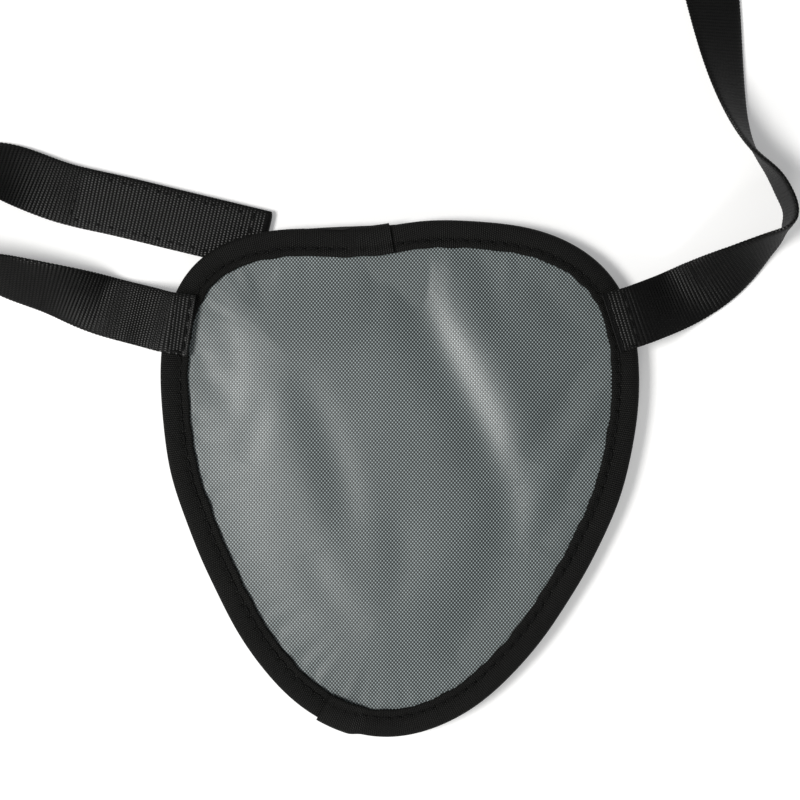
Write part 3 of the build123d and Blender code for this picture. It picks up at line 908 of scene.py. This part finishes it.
def webbing_path(stations, step):
    """The centre line, the unit vector across, and the lengths along, every step mm. Each
    station is x, y, the low edge's height and the roll in degrees, positive where the edge on
    the left is up. The centre's height is the low edge's height, plus half the width times
    the sine of the roll, plus half the thickness times its cosine."""
    stations = np.array(stations, float)
    knots = lengths_along(stations[:, :2])
    x, y, lift, roll = curve_through(knots, stations, np.linspace(0, knots[-1], 9000)).T
    roll = np.radians(roll)
    z = np.maximum(lift, 0) + WIDTH / 2 * np.abs(np.sin(roll)) + THICK / 2 * np.abs(np.cos(roll))
    centre = np.stack([x, y, z], 1)
    length = lengths_along(centre)
    along = np.arange(0, length[-1], step)
    centre = np.stack([np.interp(along, length, centre[:, k]) for k in range(3)], 1)
    roll = np.interp(along, length, roll)[:, None]
    way = normalised(np.gradient(centre, axis=0))
    left = normalised(np.stack([-way[:, 1], way[:, 0], np.zeros(len(way))], 1))
    return centre, left * np.cos(roll) + np.cross(way, left) * np.sin(roll), along


def webbing_piece(name, centre, side, along, across=22, cut=(False, False), seed=1, pressed=()):
    """A strap from its centre line and its vector across. The two faces lie half the
    thickness either side, less the furrows between the ribs. cut says which ends are heat
    sealed: there the ribs melt into a smooth bead. pressed lists stretches that a seam or a
    pad holds flat, as start, end and the share of the ribs' depth that is left there."""
    way = normalised(np.gradient(centre, axis=0))
    normal = normalised(np.cross(way, side))[:, None]
    v = np.sin(np.linspace(-np.pi / 2, np.pi / 2, across))
    slant = RIB_SLANT * waves(along, [23.0, 31.0], seed)[:, None] * v
    rib = np.sqrt(np.abs(np.cos(np.pi * (along[:, None] + slant) / RIB)))
    strength = np.ones(len(along))
    bead = np.zeros(len(along))
    for start, end, share in pressed:
        held = smooth((along - start) / 0.6) * smooth((end - along) / 0.6)
        strength = strength * (1 - (1 - share) * held)
    for is_cut, gap in zip(cut, (along - along[0], along[-1] - along)):
        if is_cut:
            strength = strength * smooth(gap / SEALED)
            bead = bead + BEAD * np.exp(-((gap - 0.25) / 0.25) ** 2)
    uneven = 1 + 0.25 * waves(along, [1.9, 3.1, 7.7], seed + 1)
    furrow = RIB_DEPTH * strength[:, None] * uneven[:, None] * (1 - rib)
    rounding = np.maximum(0.4, (1 - np.abs(v) ** 9) ** 0.5)
    half = (THICK / 2 - furrow) * rounding + bead[:, None]
    wide = WIDTH / 2 * v * (1 - 0.022 * strength[:, None] * (1 - rib) * np.abs(v) ** 6)
    middle = centre[:, None] + side[:, None] * wide[..., None]
    upper = middle + normal * half[..., None]
    lower = middle - normal * half[..., None]
    piece = layer_piece(name, upper, lower, along, WIDTH / 2 * v, WEBBING)
    piece.data.set_sharp_from_angle(angle=np.radians(70))
    print(name, "length, mm:", round(along[-1] - along[0], 1), " faces:", len(piece.data.polygons))
    return piece


def bend(piece, parent, child, place, way, back, ahead):
    """Bakes the piece's transform into its mesh. place, way, back and ahead are not used."""
    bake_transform(piece)


def joint_place(name):
    """A joint's place, in mm."""
    return next(np.array(j["pos_m"]) / MM for j in frame["joints"] if j["name"] == name)


def towards(degrees):
    """The level unit vector at an angle from +X."""
    return np.array([np.cos(np.radians(degrees)), np.sin(np.radians(degrees)), 0.0])


def level(place):
    """A place brought down to height 0."""
    return place * [1, 1, 0]


def shifted(place, rows):
    """Stations given from a place, moved to where that place is."""
    return [(place[0] + x, place[1] + y, lift, roll) for x, y, lift, roll in rows]


# %% [markdown]
# ## The left strap
# The cut end is sewn flat on the binding. From there the strap comes down to the table,
# rolls up on its edge for a tight turn, lies down again and runs back under the patch's
# corner. Its free end is folded under in a hem. All of it is one strip.

# %% Left strap's path
TAB = 4.3                 # mm of strap on the binding
TAB_LOW, TAB_TOP = heights_of("right_strap_tab")
TAB_PRESSED = (1.7, TAB + 0.2, 0.25)      # where the seam holds the tab flat, and its ribs' share
DROP = [0.86, 0.40, 0.04]  # shares of TAB_LOW that are left as a strap comes down
TURN_RADIUS = 7.8
TURN_START = -105.0       # degrees, and the turn runs clockwise from here
LEFT_LEAN = -8.4          # degrees, the left seam's lean
TAIL_ANGLE = -13.5
HEM = 3.7
TAIL_LOW = heights_of("loop_pad")[1]
APEX = joint_place("left_tail_swing")
TURN_MIDDLE = APEX - TURN_RADIUS * towards(TURN_START - 90)
LEFT_SEAM = TURN_MIDDLE - np.array([-37.6, 19.4, 0])
TAIL_END = LEFT_SEAM + np.array([16.5, 13.7, 0])


def turn_station(angle, roll):
    """A station on the turn's arc, on the table."""
    place = TURN_MIDDLE + TURN_RADIUS * towards(angle)
    return (place[0], place[1], 0, roll)


def tail_station(back):
    """A station on the tail's straight stretch, so far back from its end."""
    place = TAIL_END - back * towards(TAIL_ANGLE)
    return (place[0], place[1], TAIL_LOW, 0)


left_tab = [TAB * towards(LEFT_LEAN)[0], TAB * towards(LEFT_LEAN)[1]]
left_stations = shifted(LEFT_SEAM, [
    (*left_tab, TAB_LOW, 0), (left_tab[0] / 2, left_tab[1] / 2, TAB_LOW, 0), (0, 0, TAB_LOW, 0),
    (-2.3, 0.6, TAB_LOW * DROP[0], 0), (-6.1, 1.6, TAB_LOW * DROP[1], 0), (-10.6, 2.8, TAB_LOW * DROP[2], -6),
    (-18.1, 5.2, 0, -33), (-27.3, 7.8, 0, -49), (-34.1, 10.1, 0, -70),
])
left_stations += [turn_station(TURN_START - turned, roll) for turned, roll in (
    (0, -84), (30, -88), (60, -90), (90, -90), (120, -89), (150, -82), (178, -66))]
left_stations += shifted(LEFT_SEAM, [(-30.1, 26.2, 0.2, -34), (-24.6, 24.4, 0.6, -10)])
left_stations += [tail_station(back) for back in (35.7, 27.0, 18.0, 9.0, HEM, 0.9)]
STEP = RIB / RINGS_PER_RIB
left_centre, left_side, left_along = webbing_path(left_stations, STEP)
print("left strap, mm:", round(left_along[-1], 1))


# %% Left strap's hem
def folded_under(centre, side, along, back):
    """Adds a hem: the middle line goes on round a half circle whose radius is just over half
    the thickness, and then runs back beneath itself."""
    radius = min(THICK / 2 + 0.02, (centre[-1, 2] - THICK / 2) / 2)
    way = normalised(centre[-1] - centre[-2])
    arc = np.arange(STEP, np.pi * radius, STEP) / radius
    under = np.arange(0, back, STEP)
    ahead = np.append(radius * np.sin(arc), -under)
    fall = np.append(radius * (1 - np.cos(arc)), np.full(len(under), 2 * radius))
    more = centre[-1] + ahead[:, None] * way - fall[:, None] * np.array([0, 0, 1])
    centre = np.concatenate([centre, more])
    side = np.concatenate([side, np.repeat(side[-1:], len(more), 0)])
    return centre, side, along[0] + STEP * np.arange(len(centre))


left_centre, left_side, left_along = folded_under(left_centre, left_side, left_along, HEM - 1.0)
TAIL_LENGTH = 36.0        # mm of the strap's end that its pad and hem hold flat
left_strap = webbing_piece("left_webbing", left_centre, left_side, left_along, cut=(True, False), seed=31,
                           pressed=(TAB_PRESSED, (left_along[-1] - TAIL_LENGTH, left_along[-1] + 1, 0.4)))
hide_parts("left_strap", "left_strap_tail")
ACROSS_TURN = np.array([0.26, 0.965, 0])
BEND_REACH = 5.6          # mm each side of the turn's apex
bend(left_strap, "panel", "left_tail", APEX, ACROSS_TURN, BEND_REACH, BEND_REACH)

# %% [markdown]
# ## The right strap
# The right strap is sewn down in the same way. It rises on edge at a corner, leans over so
# that its reverse shows, and lies down again on its way to the stored length. Two joints
# cross it, and a piece bends over one joint only. So one path is worked out, and it is cut
# in two between the joints, at the crest of a rib where the cut doesn't show.

# %% Right strap
RIGHT_LEAN = 17.5         # degrees, the right seam's lean
RIGHT_SEAM = joint_place("right_strap_fold")
CORNER = joint_place("right_end_swing")
CORNER_WAY = 80.0         # degrees, the strap's way through the corner
HANK_START = RIGHT_SEAM + np.array([11.4, 68.8, 0])
HANK_WAY = 96.0
HANK_LOW, HANK_TOP = heights_of("strap_hank")
STRAIGHT_IN = 3.0         # mm before the hank that the strap is level and in line with it

right_tab = -TAB * towards(RIGHT_LEAN)
right_stations = shifted(RIGHT_SEAM, [
    (right_tab[0], right_tab[1], TAB_LOW, 0), (right_tab[0] / 2, right_tab[1] / 2, TAB_LOW, 0),
    (0.2, 0.06, TAB_LOW, 0),
    (2.2, 0.8, TAB_LOW * DROP[0], 0), (6.0, 2.3, TAB_LOW * DROP[1], 2), (10.4, 4.4, TAB_LOW * DROP[2], 14),
    (17.4, 8.6, 0, 45), (22.6, 12.2, 0, 70), (25.1, 14.4, 0, 84),
])
right_stations += shifted(CORNER, [(*(ahead * towards(CORNER_WAY))[:2], 0, roll)
                                   for ahead, roll in ((-0.7, 90), (0.7, 91))])
right_stations += shifted(RIGHT_SEAM, [
    (24.9, 20.4, 0, 92), (22.9, 23.9, 0, 88), (20.3, 27.0, 0, 79), (17.9, 31.2, 0, 67), (15.8, 38.0, 0, 51),
    (13.6, 51.5, 0, 24), (12.4, 60.8, 0, 6),
])
right_stations += shifted(HANK_START - STRAIGHT_IN * towards(HANK_WAY), [(0, 0, HANK_LOW, 0)])
right_stations += shifted(HANK_START, [(0, 0, HANK_LOW, 0)])
right_centre, right_side, right_along = webbing_path(right_stations, STEP)
CUT = RINGS_PER_RIB * round(18.0 / RIB)      # rings from the tab's end to the cut
print("right strap to the hank, mm:", round(right_along[-1], 1))

near_strap = webbing_piece("right_webbing_near", right_centre[:CUT + 1], right_side[:CUT + 1],
                           right_along[:CUT + 1], cut=(True, False), seed=41, pressed=(TAB_PRESSED,))
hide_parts("right_strap_tab")
bend(near_strap, "panel", "right_near", RIGHT_SEAM, towards(RIGHT_LEAN), 0.3, 1.8)

far_strap = webbing_piece("right_webbing_far", right_centre[CUT:], right_side[CUT:],
                          right_along[CUT:], seed=41)
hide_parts("right_strap", "right_strap_far")
bend(far_strap, "right_near", "right_end", CORNER, towards(CORNER_WAY), 3.5, 3.5)

# %% [markdown]
# ## The stored length
# The rest of the strap is folded to and fro in seven flat layers. The middle line is worked
# out in the hank's own upright plane: straight runs joined by half circles, each fold a
# little short of the one below, so that the stack's ends aren't sliced off square. The same
# function as before turns that line into ribbed webbing.

# %% Hank
LAYERS = 7
HANK_LENGTH = 40.0
LAYER_STEP = (HANK_TOP - HANK_LOW - THICK) / (LAYERS - 1)
FOLD_ROOM = LAYER_STEP / 2 + THICK / 2


def hank_line(step):
    """Distance along the hank and height of the middle line, every step mm. Run k lies k
    layer steps up, and a half circle of half a layer step leads to the next one."""
    slack = np.random.default_rng(7).uniform(0.05, 1.3, LAYERS)
    near, radius = FOLD_ROOM + slack, LAYER_STEP / 2
    ahead, height = [np.array([0.0])], [np.array([0.0])]
    for k in range(LAYERS):
        outbound = k % 2 == 0
        turn_at = HANK_LENGTH - near[k] if outbound else near[k]
        ahead.append(np.linspace(ahead[-1][-1], turn_at, 80)[1:])
        height.append(np.full(79, k * LAYER_STEP))
        if k < LAYERS - 1:
            angle = np.linspace(0, np.pi, 24)[1:]
            ahead.append(turn_at + (1 if outbound else -1) * radius * np.sin(angle))
            height.append(k * LAYER_STEP + radius * (1 - np.cos(angle)))
    ahead, height = np.concatenate(ahead), np.concatenate(height)
    length = lengths_along(np.stack([ahead, height], 1))
    at = np.arange(0, length[-1], step)
    return np.interp(at, length, ahead), np.interp(at, length, height), at


HANK_STEP = RIB / 5
ahead, height, hank_along = hank_line(HANK_STEP)
hank_centre = level(HANK_START) + ahead[:, None] * towards(HANK_WAY)
hank_centre[:, 2] = HANK_LOW + THICK / 2 + height
hank_side = np.repeat(towards(HANK_WAY + 90)[None], len(ahead), 0)
hank = webbing_piece("stored_webbing", hank_centre, hank_side, hank_along, across=14,
                     cut=(False, True), seed=51)
hand_over(hank, "right_end", "webbing", "strap_hank")

# %% Band round the hank
BAND_WIDTH = 4.0
BAND_THICK = 0.5
BAND_PLACE = 8.0          # mm from the hank's near end to the band's middle
BAND_BULGE = 0.06         # mm that the outside swells between its edges


def elastic_band():
    """A closed loop: the rounded rectangle |x/a|^16 + |z/b|^16 = 1 just outside the hank, as
    wide as the band, with its two long edges a little waved."""
    turn = np.linspace(0, 2 * np.pi, 240, endpoint=False)
    square = np.stack([np.cos(turn), np.sin(turn)], 1)
    square /= (np.abs(square) ** 16).sum(1, keepdims=True) ** (1 / 16)
    lower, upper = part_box("hank_band")
    half_high = (upper.z - lower.z) / MM / 2
    half_wide = WIDTH / 2 + half_high - (HANK_TOP - HANK_LOW) / 2
    v = np.linspace(-1, 1, 15)
    faces = []
    for depth in (0.0, BAND_THICK):
        out = np.array([half_wide - depth, half_high - depth]) * square
        bulge = BAND_BULGE * (1 - v ** 2) * (depth == 0)
        reach = out[:, None] * (1 + bulge / half_high)[None, :, None]
        wave = 0.08 * waves(turn, [2 * np.pi / 5, 2 * np.pi / 9], 61)[:, None]
        place = BAND_PLACE - (BAND_WIDTH / 2 * v + wave)
        points = level(HANK_START) + place[..., None] * towards(HANK_WAY)
        points = points + reach[..., :1] * towards(HANK_WAY - 90)
        points[..., 2] += (HANK_LOW + HANK_TOP) / 2 + reach[..., 1]
        faces.append(points)
    around = turn * (half_wide + half_high) * 4 / (2 * np.pi)
    return layer_piece("elastic_band", *faces, around, BAND_WIDTH / 2 * v, ELASTIC, closed=True)


band = elastic_band()
band.data.set_sharp_from_angle(angle=np.radians(60))
hand_over(band, "right_end", "elastic", "hank_band")

# %% [markdown]
# ## The touch fastener
# The loop pad under the left tail is brushed pile, and the hook pad on the stored end is a
# plain woven tape set with rows of stiff little hooks. Both are thin rounded slabs, made from
# a square grid pressed into a rounded rectangle. The pile is a surface of fine bumps. Each
# hook is a bent tube of a few dozen faces.

# %% Pads
PAD_WIDTH = 9.4
PAD_CELL = 0.22           # mm, the pads' grid
PAD_ROUND = 0.12          # mm that a pad's rim falls away


def pad_slab(name, middle, angle, length, low, high, rough, material, node, body, slot):
    """A slab on |x/a|^8 + |y/b|^8 = 1, whose two faces are roughened by seeded noise."""
    n, m = int(length / PAD_CELL), int(PAD_WIDTH / PAD_CELL)
    u, v = np.meshgrid(np.linspace(-1, 1, n), np.linspace(-1, 1, m), indexing="ij")
    outermost = np.maximum(np.abs(u), np.abs(v))
    scale = outermost / np.maximum((np.abs(u) ** 8 + np.abs(v) ** 8) ** (1 / 8), 1e-9)
    x, y = u * scale * length / 2, v * scale * PAD_WIDTH / 2
    noise = np.random.default_rng(71).uniform(-1, 1, (2, n, m)) * rough
    rim = PAD_ROUND * smooth(1 - (1 - outermost) / 0.08)
    flat = level(middle) + x[..., None] * towards(angle) + y[..., None] * towards(angle + 90)
    top, bottom = flat.copy(), flat.copy()
    top[..., 2] = high - rim - np.abs(noise[0])
    bottom[..., 2] = low + rim + np.abs(noise[1])
    pad = layer_piece(name, top, bottom, u[:, 0] * length / 2, v[0] * PAD_WIDTH / 2, material)
    hand_over(pad, body, slot, node)


def middle_of(node):
    """The middle of a node's box, in mm."""
    low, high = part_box(node)
    return np.array([*(low + high)]) / 2 / MM


LOOP_LENGTH = 30.0
HOOK_LENGTH = 24.0
loop_middle, hook_middle = middle_of("loop_pad"), middle_of("hook_pad")
loop_low, loop_high = heights_of("loop_pad")
hook_low, hook_high = heights_of("hook_pad")
pad_slab("loop_pile_pad", loop_middle, TAIL_ANGLE, LOOP_LENGTH, loop_low, loop_high, 0.10, LOOP_PILE,
         "loop_pad", "left_tail", "loop_pile")
pad_slab("hook_tape_pad", hook_middle, HANK_WAY, HOOK_LENGTH, hook_low, hook_high, 0.015, HOOK_TAPE,
         "hook_pad", "right_end", "hook_tape")


# %% Hooks
def hook_field():
    """Rows of hooks, every second row leaning the other way. A hook's middle line goes
    straight up, then round a three-quarter circle."""
    rows, columns = 34, 11
    along, across = np.meshgrid(np.linspace(-0.44, 0.44, rows) * HOOK_LENGTH,
                                np.linspace(-0.39, 0.39, columns) * PAD_WIDTH, indexing="ij")
    foot = level(hook_middle) + along[..., None] * towards(HANK_WAY)
    foot = foot + across[..., None] * towards(HANK_WAY + 90)
    foot[..., 2] = hook_high - 0.15
    lean = np.where(np.arange(rows) % 2 == 0, 1.0, -1.0)[:, None, None] * towards(HANK_WAY)
    lean = np.broadcast_to(lean, foot.shape).reshape(-1, 3)
    foot = foot.reshape(-1, 3)
    angle = np.linspace(0, 1.25 * np.pi, 6)
    reach = np.concatenate([[0], 0.2 - 0.2 * np.cos(angle)])
    rise = np.concatenate([[0], 0.5 + 0.2 * np.sin(angle)])
    lines = foot[:, None] + lean[:, None] * reach[:, None] + np.array([0, 0, 1.0]) * rise[:, None]
    side = np.cross(lean, [0, 0, 1.0])
    return tube_bundle("touch_hooks", lines, side, np.linspace(0.10, 0.06, 7), HOOK_TAPE, sides=4)


hooks = hook_field()
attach(hooks, "right_end")
print("hooks, faces:", len(hooks.data.polygons))

# %% Seams on the webbing
HOLE_SHARE = 0.12         # of a stitch's pitch, from a needle hole to the thread's end


def straight_seam(start, end):
    """The stitches of a straight seam from start to end: their start and end points."""
    count = max(1, round(np.linalg.norm(end - start) / STITCH_PITCH))
    holes = start + (end - start) * np.linspace(0, 1, count + 1)[:, None]
    short = HOLE_SHARE * np.diff(holes, axis=0)
    return holes[:-1] + short, holes[1:] - short


def seam_set(name, runs, body, node):
    """Several straight seams on upward faces, as one piece."""
    starts, ends = zip(*[straight_seam(start, end) for start, end in runs])
    seam = stitches(name, np.concatenate(starts), np.concatenate(ends), (0, 0, 1))
    hand_over(seam, body, "thread", node)


def tab_runs(seam, way, across):
    """A tab's seams: a row near the bend, a row near the cut end, and a short one that
    joins them along the lower edge. way points from the bend to the cut end."""
    foot = level(seam) + [0, 0, TAB_TOP]
    near_bend, near_end = foot + 0.95 * way, foot + (TAB - 0.75) * way
    edge = (WIDTH / 2 - 0.45) * across
    return [(near_bend + edge, near_bend - edge), (near_end + edge, near_end - edge),
            (near_bend - edge, near_end - edge)]


seam_set("left_tab_stitches", tab_runs(LEFT_SEAM, towards(LEFT_LEAN), towards(LEFT_LEAN + 90)),
         "panel", "left_seam_stitches")
seam_set("right_tab_stitches", tab_runs(RIGHT_SEAM, -towards(RIGHT_LEAN), towards(RIGHT_LEAN + 90)),
         "panel", "right_seam_stitches")


def pad_runs(middle, angle, length, height):
    """A frame of stitches just inside a pad's edge."""
    way, across = towards(angle), towards(angle + 90)
    half_long, half_wide = length / 2 - 0.8, PAD_WIDTH / 2 - 0.8
    spots = [level(middle) + a * half_long * way + b * half_wide * across + [0, 0, height]
             for a, b in ((1, 1), (-1, 1), (-1, -1), (1, -1))]
    return [(spots[k], spots[(k + 1) % 4]) for k in range(4)]


SUNK = 0.12               # mm that a seam sinks into the pressed webbing
tail_top = TAIL_LOW + THICK - SUNK
seam_set("loop_pad_seam", pad_runs(loop_middle, TAIL_ANGLE, LOOP_LENGTH, tail_top),
         "left_tail", "loop_pad_stitches")
seam_set("hook_pad_seam", pad_runs(hook_middle, HANK_WAY, HOOK_LENGTH, hook_high),
         "right_end", "hook_pad_stitches")
hem_row = TAIL_END - (HEM - 0.5) * towards(TAIL_ANGLE) + [0, 0, tail_top]
hem_half = (WIDTH / 2 - 0.4) * towards(TAIL_ANGLE + 90)
seam_set("hem_seam", [(hem_row - hem_half, hem_row + hem_half)], "left_tail", "left_hem_stitches")
